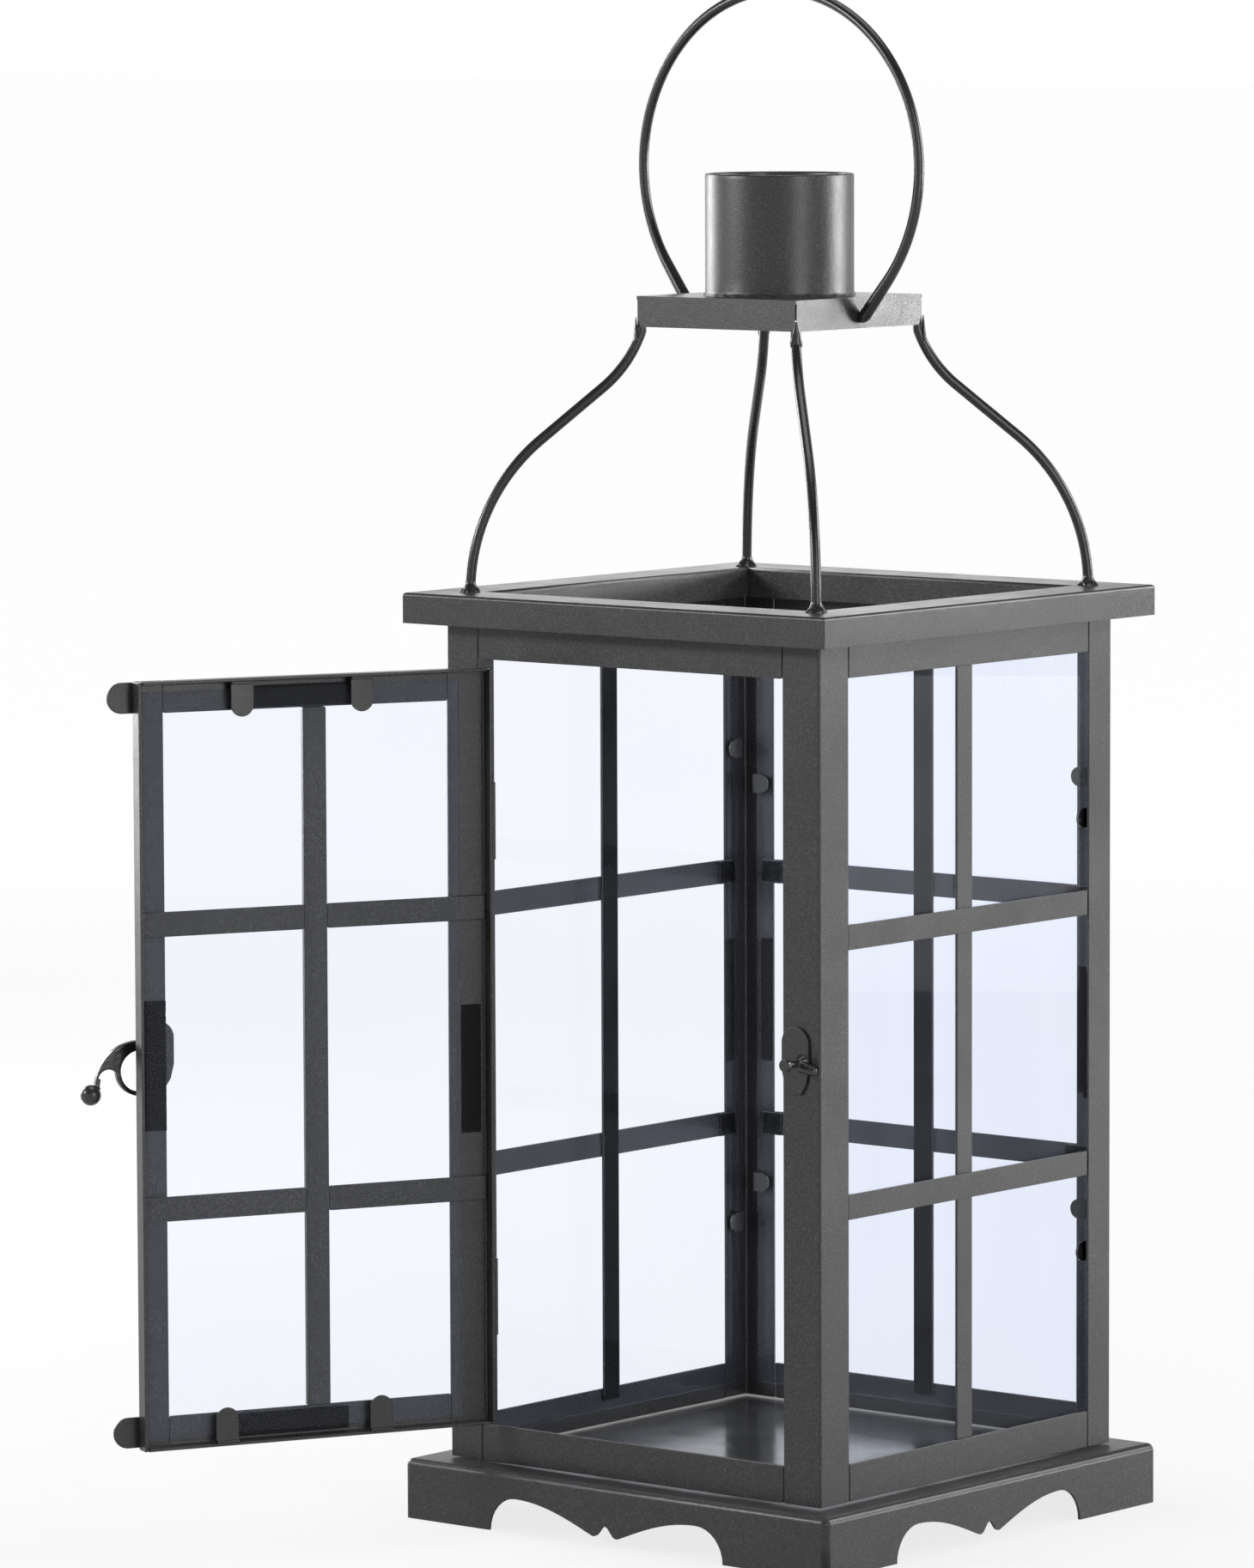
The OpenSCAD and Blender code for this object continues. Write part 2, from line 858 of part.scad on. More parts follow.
module door_bar_upright() {
    color(iron)
        on_door()
            box([door_bar_x - bar_w / 2, door_y, pane_z0], [door_bar_x + bar_w / 2, door_glass_y, pane_z1]);
}

// Level bars lapped on the inside of the stiles and butted to the upright bar
module door_bars_level() {
    color(iron)
        on_door()
            for (z = [door_bar_high_z, door_bar_low_z]) {
                box([door_x0 + sheet_t, door_in_y, z - bar_w / 2],
                    [door_bar_x - bar_w / 2, door_glass_y, z + bar_w / 2]);
                box([door_bar_x + bar_w / 2, door_in_y, z - bar_w / 2],
                    [door_x1 - sheet_t, door_glass_y, z + bar_w / 2]);
            }
}

module door_glass() {
    color(pane, 0.35)
        on_door()
            box([door_glass_x0, door_glass_y, door_glass_z0],
                [door_glass_x1, door_glass_in_y, door_glass_z1]);
}

// Half-round tab that hangs from the folded edge over the glass; dir is -1 at the top, 1 below
module door_clip(x, z, dir) {
    translate([x, door_glass_in_y, z])
        mirror([0, 0, dir < 0 ? 1 : 0]) {
            translate([-door_clip_r, 0, 0])
                cube([2 * door_clip_r, clip_t, door_clip_l - door_clip_r]);
            translate([-door_clip_r, 0, 0])
                cube([2 * door_clip_r, door_lip_y - door_glass_in_y, clip_t]);
            translate([0, clip_t, door_clip_l - door_clip_r])
                rotate([90, 0, 0])
                    cylinder(h = clip_t, r = door_clip_r);
        }
}

module door_clips() {
    color(dark)
        on_door() {
            for (x = door_clip_top_x)
                door_clip(x, door_z1 - sheet_t, -1);
            for (x = door_clip_low_x)
                door_clip(x, door_z0 + sheet_t, 1);
        }
}

// Cushion pads between the door frame and its pane
module door_pads() {
    color(pad_colour)
        on_door() {
            box([pane_x1 + door_pad_gap, door_in_y, latch_pad_z[0]],
                [door_x1 - sheet_t - door_pad_gap, door_glass_y, latch_pad_z[1]]);
            box([hinge_pad_x[0], door_in_y, hinge_pad_z[0]],
                [hinge_pad_x[1], door_glass_y, hinge_pad_z[1]]);
            box([top_pad_x[0], door_in_y, pane_z1 + top_pad_gap[0]],
                [top_pad_x[1], door_glass_y, door_z1 - sheet_t - top_pad_gap[1]]);
            box([low_pad_x[0], door_in_y, door_z0 + sheet_t + low_pad_gap[0]],
                [low_pad_x[1], door_glass_y, pane_z0 - low_pad_gap[1]]);
        }
}

// Round-ended stop tabs that close against the catch post
module door_stops() {
    color(iron)
        on_door()
            for (z = [stop_top_z, stop_low_z]) {
                box([stop_root_x, door_y - sheet_t, z - stop_r], [stop_out_x - stop_r, door_y, z + stop_r]);
                translate([stop_out_x - stop_r, door_y, z])
                    rotate([90, 0, 0])
                        cylinder(h = sheet_t, r = stop_r);
            }
}

// Tongue outline of the latch and catch plates: round above, tapered below, centred on x = 0
module tongue_outline(h) {
    w = plate_w / 2;
    waist = tongue_waist * h;
    knee = tongue_knee * h;
    translate([0, h - w])
        circle(r = w);
    translate([-w, waist])
        square([2 * w, h - waist - w]);
    polygon([[-w, waist], [-w * tongue_knee_w, knee], [-w * tongue_foot_w, 0],
        [w * tongue_foot_w, 0], [w * tongue_knee_w, knee], [w, waist]]);
}

module tongue_plate(x, y, z0, h, hole_x, hole_z, hole_r) {
    translate([x, y, z0])
        rotate([90, 0, 0])
            difference() {
                linear_extrude(plate_t)
                    tongue_outline(h);
                translate([hole_x - x, hole_z - z0, -cut])
                    cylinder(h = plate_t + 2 * cut, r = hole_r);
            }
}

module latch_plate() {
    color(iron)
        on_door()
            tongue_plate(pivot_x, door_y, latch_plate_z, latch_plate_h, pivot_x, pivot_z, pivot_r);
}

module latch_pivot() {
    shank = door_in_y - lever_y + lever_t + pivot_play;
    color(dark)
        on_door()
            translate([pivot_x, door_in_y, pivot_z])
                rotate([90, 0, 0]) {
                    cylinder(h = shank, r = pivot_r);
                    translate([0, 0, shank])
                        cylinder(h = pivot_head_l, r = pivot_head_r);
                }
}

// Ring sector between two radii and two angles
module ring_sector(r0, r1, a0, a1) {
    far = 2 * r1;
    intersection() {
        difference() {
            circle(r = r1);
            circle(r = r0);
        }
        polygon([[0, 0], far * [cos(a0), sin(a0)],
            far * [cos((a0 + a1) / 2), sin((a0 + a1) / 2)], far * [cos(a1), sin(a1)]]);
    }
}

// Outline of the cast lever in the plane of the shut door: bowed back, eye, notch and two prongs
module lever_outline() {
    difference() {
        intersection() {
            translate([bow_x, bow_z])
                circle(r = lever_bow_r);
            polygon(lever_body);
        }
        translate([eye_x, eye_z])
            circle(r = eye_r);
        translate([notch_x, notch_z])
            circle(r = notch_r);
    }
    translate([pivot_x, bow_z + lever_bow_r - lever_neck_h])
        square([lever_neck_l, lever_neck_h]);
    translate([pivot_x, pivot_z])
        circle(r = hub_r);
    translate([eye_x, eye_z])
        ring_sector(eye_r - weld_lap, eye_r + prong_t, eye_prong_a[0], eye_prong_a[1]);
    translate([bow_x, bow_z])
        ring_sector(lever_bow_r - bow_prong_t, lever_bow_r, bow_prong_a[0], bow_prong_a[1]);
}

module latch_lever() {
    boss_y = plate_y - boss_gap;
    color(dark)
        on_door()
            difference() {
                union() {
                    translate([0, lever_y, 0])
                        rotate([90, 0, 0])
                            linear_extrude(lever_t)
                                lever_outline();
                    translate([ball_x, lever_y - lever_t / 2, ball_z])
                        sphere(r = lever_ball_r);
                    translate([pivot_x, boss_y, pivot_z])
                        rotate([90, 0, 0])
                            cylinder(h = boss_y - lever_y, r = boss_r);
                }
                translate([pivot_x, plate_y + cut, pivot_z])
                    rotate([90, 0, 0])
                        cylinder(h = plate_y - lever_y + lever_t + 2 * cut, r = pivot_r + pivot_run);
            }
}

module stud_hole() {
    translate([stud_x, -half + sheet_t + cut, stud_z])
        rotate([90, 0, 0])
            cylinder(h = sheet_t + plate_t + 2 * cut, r = stud_r);
}

module catch_plate() {
    color(iron)
        tongue_plate(catch_x, -half, catch_plate_z, catch_plate_h, stud_x, stud_z, stud_r);
}

// Keeper: a headed stud with a flared root and a wedge-shaped lobe beside it
module catch_stud() {
    tail = sheet_t + plate_t;
    color(dark)
        translate([stud_x, catch_y, stud_z])
            rotate([90, 0, 0]) {
                translate([0, 0, -tail])
                    cylinder(h = tail + stud_neck_l, r = stud_r);
                cylinder(h = stud_root_l, r1 = stud_root_r, r2 = stud_r);
                translate([0, 0, stud_neck_l])
                    cylinder(h = stud_head_l, r = stud_head_r);
                intersection() {
                    hull() {
                        translate(lobe_near)
                            sphere(r = lobe_near_r, $fn = lobe_fn);
                        translate(lobe_far)
                            sphere(r = lobe_far_r, $fn = lobe_fn);
                    }
                    box([-lobe_reach, -lobe_reach, 0], [lobe_reach, lobe_reach, lobe_reach]);
                }
            }
}

module catch_rivet() {
    color(dark)
        translate([rivet_x, catch_y, rivet_z])
            rotate([90, 0, 0])
                cylinder(h = rivet_h, r1 = rivet_r, r2 = rivet_top_r);
}

base_shell();
post_front_left();
post_front_right();
post_back_right();
post_back_left();
bottom_rail_front();
bottom_rail_right();
bottom_rail_back();
bottom_rail_left();
top_rail_front();
top_rail_right();
top_rail_back();
top_rail_left();
bar_upright_right();
bar_upright_back();
bar_upright_left();
bars_level_right();
bars_level_back();
bars_level_left();
glass_right();
glass_back();
glass_left();
clips_right();
clips_back();
clips_left();
pads_body();
top_rim();
arm_front_left();
arm_front_right();
arm_back_right();
arm_back_left();
cap_tray();
flue_collar();
carry_handle();
hinge_upper_post_leaf();
hinge_lower_post_leaf();
hinge_upper_pin();
hinge_lower_pin();
catch_plate();
catch_stud();
catch_rivet();
door_stile_hinge();
door_stile_latch();
door_rail_top();
door_rail_bottom();
door_bar_upright();
door_bars_level();
door_glass();
door_clips();
door_pads();
door_stops();
hinge_upper_door_leaf();
hinge_lower_door_leaf();
latch_plate();
latch_pivot();
latch_lever();
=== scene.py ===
import json
import math

import bmesh
import bpy
from mathutils import Matrix, Vector, noise


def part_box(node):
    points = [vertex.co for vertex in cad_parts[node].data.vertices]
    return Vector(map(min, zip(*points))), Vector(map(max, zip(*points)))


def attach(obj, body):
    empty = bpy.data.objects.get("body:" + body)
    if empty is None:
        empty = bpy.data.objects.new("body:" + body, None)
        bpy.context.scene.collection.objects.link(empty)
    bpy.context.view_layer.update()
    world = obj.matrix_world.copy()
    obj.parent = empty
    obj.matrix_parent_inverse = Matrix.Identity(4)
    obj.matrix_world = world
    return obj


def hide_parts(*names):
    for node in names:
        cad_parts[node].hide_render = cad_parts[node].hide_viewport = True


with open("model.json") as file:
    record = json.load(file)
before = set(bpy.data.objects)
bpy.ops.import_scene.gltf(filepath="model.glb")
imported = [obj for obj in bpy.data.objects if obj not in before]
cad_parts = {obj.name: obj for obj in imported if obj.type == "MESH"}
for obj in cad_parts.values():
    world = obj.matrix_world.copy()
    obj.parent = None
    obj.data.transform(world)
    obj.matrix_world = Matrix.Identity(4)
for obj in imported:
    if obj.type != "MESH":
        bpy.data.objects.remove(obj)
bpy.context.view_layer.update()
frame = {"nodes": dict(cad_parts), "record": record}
NODES = frame["nodes"]
BEHAVIOUR = frame["record"]["behaviour"]
BODY_OF = {node: body for body, nodes in BEHAVIOUR["bodies"].items() for node in nodes}
JOINTS = {joint["name"]: joint for joint in BEHAVIOUR["joints"]}

SCENE = bpy.context.scene
# Shapes are worked out in millimetres and turned into metres when the mesh is made.
MM = 0.001
rad = math.radians


def cad_box(node):
    """Lowest and highest corners of a CAD node, in millimetres."""
    low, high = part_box(node)
    return Vector(low) / MM, Vector(high) / MM


# --------------------------------------------------------------------------
# Meshes
# --------------------------------------------------------------------------
WELD_DIST = 2e-6      # metres; CAD vertices closer than this are one
FLAT = rad(0.8)       # neighbouring faces that differ by less lie in one plane
STRAIGHT = rad(0.4)   # a vertex that bends its line by less is dropped
SHARP = rad(28)       # edges that turn by more are eased
STILL_SHARP = rad(75)  # after easing, only edges that turn by more stay hard
FLAT_WEIGHT = 60      # how strongly wide faces rule the shading
WIDE = 2.5            # an edge between two faces at least this wide is a fold
EDGE = 0.3            # easing of the cut edges of sheet metal
CAST_LUMP = 2.2       # size and depth of the unevenness of a casting
CAST_DEPTH = 0.05


def link(obj):
    SCENE.collection.objects.link(obj)
    return obj


def mesh_object(name, *shells, crease=50):
    """One object from closed shells of (verts in mm, faces)."""
    verts, faces = [], []
    for shell_verts, shell_faces in shells:
        first = len(verts)
        verts += [Vector(v) * MM for v in shell_verts]
        faces += [tuple(first + i for i in face) for face in shell_faces]
    mesh = bpy.data.meshes.new(name)
    mesh.from_pydata(verts, [], faces)
    bm = bmesh.new()
    bm.from_mesh(mesh)
    bmesh.ops.recalc_face_normals(bm, faces=bm.faces)
    bm.to_mesh(mesh)
    bm.free()
    mesh.shade_smooth()
    mesh.set_sharp_from_angle(angle=rad(crease))
    return link(bpy.data.objects.new(name, mesh))


def bake_modifiers(obj):
    """Replaces the object's mesh by what its modifiers give."""
    bpy.context.view_layer.update()
    graph = bpy.context.evaluated_depsgraph_get()
    mesh = bpy.data.meshes.new_from_object(obj.evaluated_get(graph))
    obj.modifiers.clear()
    obj.data = mesh
    return obj


def join_flat_faces(bm):
    """Joins neighbours of one plane into larger faces, but never round a hole."""
    joined = True
    while joined:
        joined = False
        for edge in list(bm.edges):
            if not edge.is_valid or len(edge.link_faces) != 2:
                continue
            a, b = edge.link_faces
            if a.normal.angle(b.normal, math.pi) > FLAT:
                continue
            shared = [e for e in a.edges if b in e.link_faces]
            touching = [v for v in a.verts if b in v.link_faces]
            if len(touching) != len(shared) + 1:
                continue
            face = bmesh.utils.face_join((a, b))
            if face:
                face.normal_update()
                joined = True
    for vert in list(bm.verts):
        if vert.is_valid and len(vert.link_edges) == 2:
            a, b = [e.other_vert(vert).co - vert.co for e in vert.link_edges]
            if a.angle(b, 0) > math.pi - STRAIGHT:
                bmesh.utils.vert_collapse_edge(vert, vert.link_edges[0])


def welded_bmesh(node):
    """The CAD node's triangles with their shared corners joined."""
    bm = bmesh.new()
    bm.from_mesh(NODES[node].data)
    bmesh.ops.remove_doubles(bm, verts=bm.verts, dist=WELD_DIST)
    return bm


def welded_copy(node):
    """A new object with the CAD node's shape, its triangles joined into flat faces."""
    mesh = bpy.data.meshes.new(node + "_fine")
    bm = welded_bmesh(node)
    bmesh.ops.recalc_face_normals(bm, faces=bm.faces)
    join_flat_faces(bm)
    bm.to_mesh(mesh)
    bm.free()
    return link(bpy.data.objects.new(node + "_fine", mesh))


def even_shading(obj):
    """Smooth shading that leaves the wide faces flat."""
    normal = obj.modifiers.new("even", "WEIGHTED_NORMAL")
    normal.keep_sharp = True
    normal.weight = FLAT_WEIGHT
    obj.data.shade_smooth()
    obj.data.set_sharp_from_angle(angle=STILL_SHARP)
    return bake_modifiers(obj)


def ease(obj, width, segments=3, shortest=0.5, fold=0.9):
    """Rounds sharp edges longer than shortest: folds by the fold radius, cut edges by width."""
    bm = bmesh.new()
    bm.from_mesh(obj.data)
    weight = bm.edges.layers.float.new("bevel_weight_edge")
    for edge in bm.edges:
        length = edge.calc_length()
        if len(edge.link_faces) == 2 and edge.calc_face_angle() > SHARP and length > shortest * MM:
            wide = all(face.calc_area() / length > WIDE * MM for face in edge.link_faces)
            edge[weight] = 1.0 if wide else width / fold
    bm.to_mesh(obj.data)
    bm.free()
    bevel = obj.modifiers.new("ease", "BEVEL")
    bevel.width = fold * MM
    bevel.segments = segments
    bevel.limit_method = "WEIGHT"
    bevel.miter_outer = "MITER_ARC"
    bevel.use_clamp_overlap = True
    return even_shading(obj)


def cast(node, voxel, rounds):
    """The CAD node with the soft edges and slightly uneven faces of a small casting."""
    obj = welded_copy(node)
    remesh = obj.modifiers.new("skin", "REMESH")
    remesh.mode = "VOXEL"
    remesh.voxel_size = voxel * MM
    smooth = obj.modifiers.new("soften", "SMOOTH")
    smooth.factor = 0.5
    smooth.iterations = rounds
    bake_modifiers(obj)
    normals = [vert.normal.copy() for vert in obj.data.vertices]
    for vert, normal in zip(obj.data.vertices, normals):
        vert.co += normal * noise.noise(vert.co / (CAST_LUMP * MM)) * CAST_DEPTH * MM
    obj.data.shade_smooth()
    return obj


def cut_away(obj, shells):
    """Cuts closed shells out of the object."""
    cutter = mesh_object("cutter", *shells)
    cut = obj.modifiers.new("cut", "BOOLEAN")
    cut.operation = "DIFFERENCE"
    cut.solver = "EXACT"
    cut.object = cutter
    bake_modifiers(obj)
    bpy.data.objects.remove(cutter)
    return obj


def band(i, j, n):
    """The faces between rings i and j of n points each."""
    return [(i * n + k, i * n + (k + 1) % n, j * n + (k + 1) % n, j * n + k) for k in range(n)]


def loft(rings):
    """A skin over rings of equal count, with both ends capped."""
    n = len(rings[0])
    verts = [point for ring in rings for point in ring]
    faces = [face for i in range(len(rings) - 1) for face in band(i, i + 1, n)]
    last = (len(rings) - 1) * n
    faces.append(tuple(range(n - 1, -1, -1)))
    faces.append(tuple(range(last, last + n)))
    return verts, faces


def lathe(profile, steps):
    """A ring turned about Z; profile(turn) gives its closed section as (radius, z) pairs."""
    rings = []
    for i in range(steps):
        a = 2 * math.pi * i / steps
        rings.append([Vector((r * math.cos(a), r * math.sin(a), z)) for r, z in profile(a)])
    n = len(rings[0])
    faces = [face for i in range(steps) for face in band(i, (i + 1) % steps, n)]
    return [point for ring in rings for point in ring], faces


def tube(path, radius, sides=30, up=(0, 0, 1)):
    """A tube along path; radius(i, angle) gives the distance of each point of ring i from it."""
    points = [Vector(p) for p in path]
    last = len(points) - 1
    tangents = [(points[min(i + 1, last)] - points[max(i - 1, 0)]).normalized()
                for i in range(last + 1)]
    side = tangents[0].cross(Vector(up)).normalized()
    rings = []
    for i, (point, along) in enumerate(zip(points, tangents)):
        side = (side - along * side.dot(along)).normalized()
        top = side.cross(along)
        ring = []
        for k in range(sides):
            a = 2 * math.pi * k / sides
            ring.append(point + (side * math.cos(a) + top * math.sin(a)) * radius(i, a))
        rings.append(ring)
    return loft(rings)


def arc(centre, r, a0, a1, steps):
    """Points of an arc in a plane, from a0 to a1 degrees."""
    angles = [rad(a0 + (a1 - a0) * i / steps) for i in range(steps + 1)]
    return [(centre[0] + r * math.cos(a), centre[1] + r * math.sin(a)) for a in angles]


def lumps(point, size, depth):
    """A factor near 1 that wanders by up to depth over lumps of the given size."""
    return 1 + depth * noise.noise(Vector(point) / size)


def dress(obj, material, body, slot, *replaced):
    """Gives a piece its material and its body, and hides the CAD nodes it stands for; slot is not
    used.
    """
    obj.data.materials.clear()
    obj.data.materials.append(material)
    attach(obj, body)
    if replaced:
        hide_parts(*replaced)
    return obj


# --------------------------------------------------------------------------
# Materials
# --------------------------------------------------------------------------
# Scales of the noises, in waves per metre
FLECK_SCALE = 1250
SPECK_SCALE = 620
PEEL_SCALE = 420
SCRATCH_SCALE = 70
RUB_SCALE = 38
WAVE_SCALE = 16
PATCH_SCALE = 11
SMEAR_SCALE = 9
PORE_SCALE = 1500
FIBRE_SCALE = 260
# Heights of the bumps, in metres
PEEL_HEIGHT = 0.00012
WAVE_HEIGHT = 0.0012
SCRATCH_HEIGHT = 0.0001
FOAM_HEIGHT = 0.0003
SPECK_TONE = (0.16, 0.16, 0.158)
PATCH_SHADE = 0.7     # the darker patches have this share of the coat's tone
SHIMMER = 0.03        # how far the roughness differs from fleck to fleck, at most
GLASS_IOR = 1.13
GLASS_TINTS = ((0.948, 0.962, 0.997), (0.956, 0.968, 0.997))
GLASS_SHADOW = (0.95, 0.962, 0.997)


class Graph:
    """A short way of writing the nodes of a material or world."""

    def __init__(self, owner, output="ShaderNodeOutputMaterial"):
        owner.use_nodes = True
        self.owner = owner
        self.tree = owner.node_tree
        self.tree.nodes.clear()
        self.out = self.tree.nodes.new(output)
        self.coord = self.tree.nodes.new("ShaderNodeTexCoord")

    def node(self, kind, **inputs):
        node = self.tree.nodes.new("ShaderNode" + kind)
        for key, value in inputs.items():
            self.put(node.inputs[key.replace("_", " ")], value)
        return node

    def put(self, socket, value):
        if isinstance(value, bpy.types.NodeSocket):
            self.tree.links.new(value, socket)
        elif hasattr(value, "__len__") and len(value) == 3 and len(socket.default_value) == 4:
            socket.default_value = (*value, 1)
        else:
            socket.default_value = value

    def noise(self, scale, detail=2.0, rough=0.5, stretch=(1, 1, 1)):
        mapping = self.node("Mapping", Vector=self.coord.outputs["Object"], Scale=stretch)
        return self.node("TexNoise", Vector=mapping.outputs[0], Scale=scale, Detail=detail,
                         Roughness=rough).outputs["Fac"]

    def span(self, value, a, b, low, high):
        """Maps a..b to low..high, and keeps to that range."""
        return self.node("MapRange", Value=value, From_Min=a, From_Max=b,
                         To_Min=low, To_Max=high).outputs[0]

    def math(self, operation, a, b):
        node = self.tree.nodes.new("ShaderNodeMath")
        node.operation = operation
        self.put(node.inputs[0], a)
        self.put(node.inputs[1], b)
        return node.outputs[0]

    def mix(self, fac, a, b):
        node = self.tree.nodes.new("ShaderNodeMix")
        node.data_type = "RGBA"
        self.put(node.inputs["Factor"], fac)
        for key, value in (("A", a), ("B", b)):
            self.put([s for s in node.inputs if s.name == key and s.type == "RGBA"][0], value)
        return [s for s in node.outputs if s.type == "RGBA"][0]

    def bump(self, height, strength, distance, normal=None):
        node = self.node("Bump", Height=height, Strength=strength, Distance=distance)
        if normal:
            self.put(node.inputs["Normal"], normal)
        return node.outputs["Normal"]

    def rays(self, *kinds):
        """1 for rays of any of these kinds, 0 for the rest."""
        path = self.tree.nodes.new("ShaderNodeLightPath").outputs
        found = path[f"Is {kinds[0]} Ray"]
        for kind in kinds[1:]:
            found = self.math("MAXIMUM", found, path[f"Is {kind} Ray"])
        return found

    def finish(self, shader):
        self.tree.links.new(shader.outputs[0], self.out.inputs["Surface"])
        return self.owner


def material_graph(name):
    return Graph(bpy.data.materials.new(name))


def paint(name, base, fleck, rough, share=0.5, peel=0.12, grain=0.25, brushed=0.0, ior=1.5):
    """Satin metallic paint: dark coat, fine flecks, faint orange peel, soft waves, pale specks."""
    g = material_graph(name)
    cells = g.noise(FLECK_SCALE, 3, 0.6)
    tone = g.mix(g.span(cells, 0.48, 0.68, 0.0, share), base, fleck)
    patches = g.span(g.noise(PATCH_SCALE, 3, 0.55), 0.3, 0.7, 0.0, 0.3)
    tone = g.mix(patches, tone, [c * PATCH_SHADE for c in base])
    specks = g.span(g.noise(SPECK_SCALE, 1, 0.4), 0.76, 0.8, 0.0, 0.5)
    tone = g.mix(specks, tone, SPECK_TONE)
    rubbed = g.span(g.noise(RUB_SCALE, 4, 0.6), 0.3, 0.7, -0.04, 0.05)
    fine = min(SHIMMER, grain)
    shimmer = g.span(cells, 0.3, 0.7, -fine, fine)
    roughness = g.math("ADD", g.math("ADD", rubbed, shimmer), rough)
    normal = g.bump(cells, grain, PEEL_HEIGHT)
    normal = g.bump(g.noise(PEEL_SCALE, 2, 0.5), peel, PEEL_HEIGHT, normal)
    normal = g.bump(g.noise(WAVE_SCALE, 1, 0.4), 0.5, WAVE_HEIGHT, normal)
    if brushed:
        scratches = g.noise(SCRATCH_SCALE, 5, 0.65, (1, 22, 1))
        normal = g.bump(scratches, brushed, SCRATCH_HEIGHT, normal)
        roughness = g.math("ADD", roughness, g.span(scratches, 0.4, 0.7, -0.03, 0.1))
    shader = g.node("BsdfPrincipled", Base_Color=tone, Roughness=roughness, Normal=normal, IOR=ior)
    return g.finish(shader)


def glass_material():
    """Faintly blue sheet glass with soft smears, which lets the lamps' light through."""
    g = material_graph("pane_glass")
    smear = g.span(g.noise(SMEAR_SCALE, 3, 0.5), 0.3, 0.7, 0.0, 1.0)
    body = g.node("BsdfGlass", Color=g.mix(smear, *GLASS_TINTS), Roughness=0.0, IOR=GLASS_IOR)
    clear = g.node("BsdfTransparent", Color=GLASS_SHADOW)
    pick = g.tree.nodes.new("ShaderNodeMixShader")
    g.put(pick.inputs[0], g.rays("Shadow"))
    g.put(pick.inputs[1], body.outputs[0])
    g.put(pick.inputs[2], clear.outputs[0])
    return g.finish(pick)


def foam_material():
    g = material_graph("foam_tape")
    pores = g.noise(PORE_SCALE, 4, 0.7)
    fibres = g.noise(FIBRE_SCALE, 3, 0.6, (1, 1, 7))
    # Painted shade: the tone darkens where the pore bump sinks the face, on top of the foam's own
    # black.
    depth = g.span(pores, 0.35, 0.7, 0.0, 1.0)
    tone = g.mix(depth, (0.005, 0.005, 0.0055), (0.022, 0.022, 0.023))
    roughness = g.span(pores, 0.3, 0.7, 0.72, 0.95)
    normal = g.bump(fibres, 0.5, FOAM_HEIGHT, g.bump(pores, 0.7, FOAM_HEIGHT))
    shader = g.node("BsdfPrincipled", Base_Color=tone, Roughness=roughness, Normal=normal,
                    Specular_IOR_Level=0.15)
    return g.finish(shader)


PAINT = paint("charcoal_paint", (0.02, 0.02, 0.0205), (0.12, 0.12, 0.12), 0.35, grain=0.5)
FLOOR_PAINT = paint("candle_floor_paint", (0.03, 0.03, 0.0305), (0.08, 0.08, 0.08), 0.15,
                    share=0.4, peel=0.01, grain=0.0, brushed=0.06, ior=2.1)
WIRE = paint("wire_paint", (0.016, 0.016, 0.0165), (0.035, 0.035, 0.036), 0.27,
             share=0.4, peel=0.06, grain=0.1)
FITTING = paint("fitting_paint", (0.03, 0.03, 0.0305), (0.06, 0.06, 0.06), 0.23,
                peel=0.15, grain=0.12)
GLASS = glass_material()
FOAM = foam_material()

# --------------------------------------------------------------------------
# Sheet metal, fittings and glass carried over from the frame, their edges eased
# --------------------------------------------------------------------------
HINGE = Vector(JOINTS["door_hinge"]["pos_m"]) / MM
# The joint turns about -Z, so its shut angle taken about +Z opens a shut door to where the
# frame holds it. TO_DOOR does that, and TO_SHUT undoes it.
DOOR_SHUT = JOINTS["door_hinge"]["range_deg"][0]
TO_DOOR = (Matrix.Translation(HINGE) @ Matrix.Rotation(rad(DOOR_SHUT), 4, "Z")
           @ Matrix.Translation(-HINGE))
TO_SHUT = TO_DOOR.inverted()
SEAM = 0.45           # open joint between rail and post
BED_SEAM = 0.7        # open joint between body and base
END_TOL = 0.05        # vertices this near a piece's end are part of it
PLATE_SHORTEST = 0.05
FITTING_EDGE = 0.25
PANE_EDGE = 0.18
BASE_SHORTEST = 9
FACING_UP = 0.9
LEVEL_TOL = 0.1

SHEET = ("post_", "bottom_rail", "top_rail", "bar", "door_stile", "door_rail", "door_bar",
         "door_stops", "hinge_", "catch_plate", "latch_plate")
FITTINGS = ("clips_right", "clips_back", "clips_left", "door_clips", "latch_pivot", "catch_rivet")
PANES = ("glass_right", "glass_back", "glass_left", "door_glass")


def drawn_back(obj, to_local, axis, ends, gap):
    """Draws one or both ends of a piece back along an axis, which leaves a dark open joint."""
    to_world = to_local.inverted()
    local = {v.index: to_local @ (v.co / MM) for v in obj.data.vertices}
    for sign in ends:
        edge = max(sign * p[axis] for p in local.values())
        for i, point in local.items():
            if sign * point[axis] > edge - END_TOL:
                point[axis] -= sign * gap
                obj.data.vertices[i].co = (to_world @ point) * MM


def sheet_piece(node):
    """A sheet node with open joints where rails meet posts and the body stands on the base."""
    obj = welded_copy(node)
    to_local = TO_SHUT if BODY_OF[node] == "door" else Matrix.Identity(4)
    if "_rail" in node:
        axis = 0 if node.endswith(("front", "back", "top", "bottom")) else 1
        drawn_back(obj, to_local, axis, (-1, 1), SEAM)
    if node.startswith(("post_", "bottom_rail")):
        drawn_back(obj, to_local, 2, (-1,), BED_SEAM)
    if node.endswith("_plate"):
        return ease(obj, EDGE, shortest=PLATE_SHORTEST, fold=EDGE)
    return ease(obj, EDGE)


